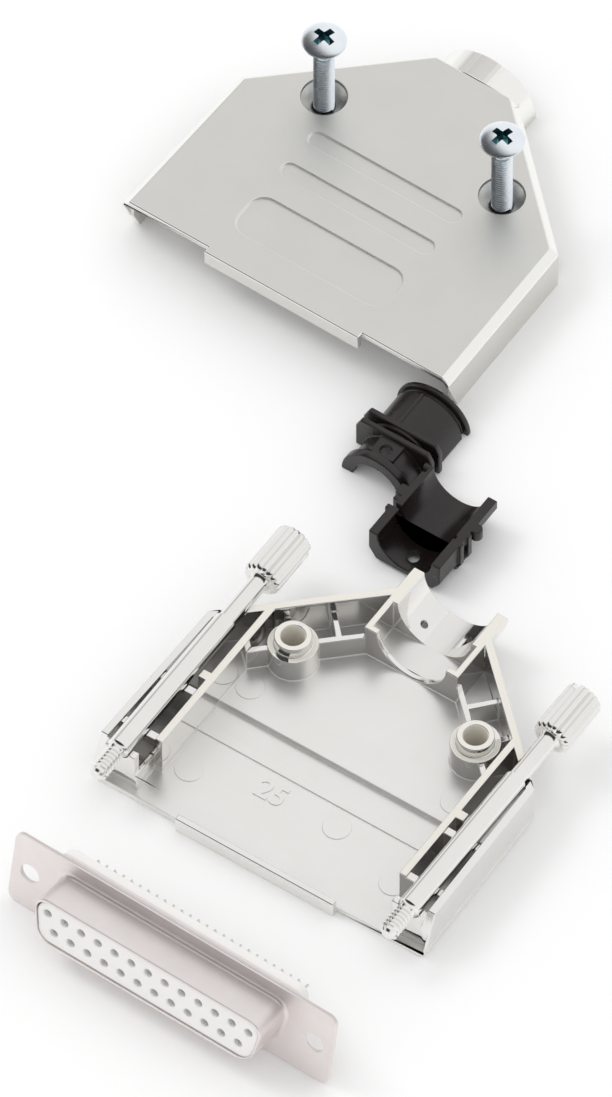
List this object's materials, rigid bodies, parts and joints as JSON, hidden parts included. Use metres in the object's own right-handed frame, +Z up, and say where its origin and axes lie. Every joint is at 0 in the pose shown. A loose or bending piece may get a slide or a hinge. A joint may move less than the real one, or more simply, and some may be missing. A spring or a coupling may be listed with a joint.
{
  "type": "d-sub hood",
  "caption": "Metal cable hood for a D-sub connector, laid out in pieces: two shells, cable clamp halves, thumbscrews, cover screws and the socket connector.",
  "frame": {"origin": "on the bottom shell's flat underside, on its middle line, 22 mm behind its front edge", "axes": "+X across the hood, +Y from the mating side to the cable, +Z up from the bench"},
  "size_m": [0.1035, 0.1562, 0.0211],
  "materials": {
    "bright_nickel": "bright nickel plate on die-cast zinc",
    "satin_nickel": "fine matte nickel plate on die-cast zinc",
    "zinc_plate": "bright blue zinc plate",
    "black_plastic": "moulded, slight sheen",
    "tinned_steel": "satin tin plate",
    "white_plastic": "moulded",
    "contact_brass": "thin gold flash"
  },
  "bodies": {
    "kit": {"bottom_shell": "bright_nickel", "top_cover": "satin_nickel", "upper_clamp": "black_plastic", "lower_clamp": "black_plastic", "front_shell": "tinned_steel", "rear_shell": "tinned_steel", "front_insulator": "white_plastic", "rear_insulator": "white_plastic", "contact_1": "contact_brass", "contact_2": "contact_brass", "contact_3": "contact_brass", "contact_4": "contact_brass", "contact_5": "contact_brass", "contact_6": "contact_brass", "contact_7": "contact_brass", "contact_8": "contact_brass", "contact_9": "contact_brass", "contact_10": "contact_brass", "contact_11": "contact_brass", "contact_12": "contact_brass", "contact_13": "contact_brass", "contact_14": "contact_brass", "contact_15": "contact_brass", "contact_16": "contact_brass", "contact_17": "contact_brass", "contact_18": "contact_brass", "contact_19": "contact_brass", "contact_20": "contact_brass", "contact_21": "contact_brass", "contact_22": "contact_brass", "contact_23": "contact_brass", "contact_24": "contact_brass", "contact_25": "contact_brass"},
    "left_thumbscrew": {"left_thumbscrew": "bright_nickel"},
    "right_thumbscrew": {"right_thumbscrew": "bright_nickel"},
    "left_cover_screw": {"left_cover_screw": "zinc_plate"},
    "right_cover_screw": {"right_cover_screw": "zinc_plate"}
  },
  "joints": [
    {"name": "left_thumbscrew_turn", "type": "hinge", "parent": "kit", "child": "left_thumbscrew", "pos_m": [-0.02352, -0.022, 0.0077], "axis": [0, 1, 0], "continuous": true},
    {"name": "right_thumbscrew_turn", "type": "hinge", "parent": "kit", "child": "right_thumbscrew", "pos_m": [0.02352, -0.022, 0.0077], "axis": [0, 1, 0], "continuous": true},
    {"name": "left_cover_screw_drive", "type": "slide", "parent": "kit", "child": "left_cover_screw", "axis": [0, 0, 1], "range_m": [-0.0045, 0.0015]},
    {"name": "right_cover_screw_drive", "type": "slide", "parent": "kit", "child": "right_cover_screw", "axis": [0, 0, 1], "range_m": [-0.0045, 0.0015]}
  ]
}
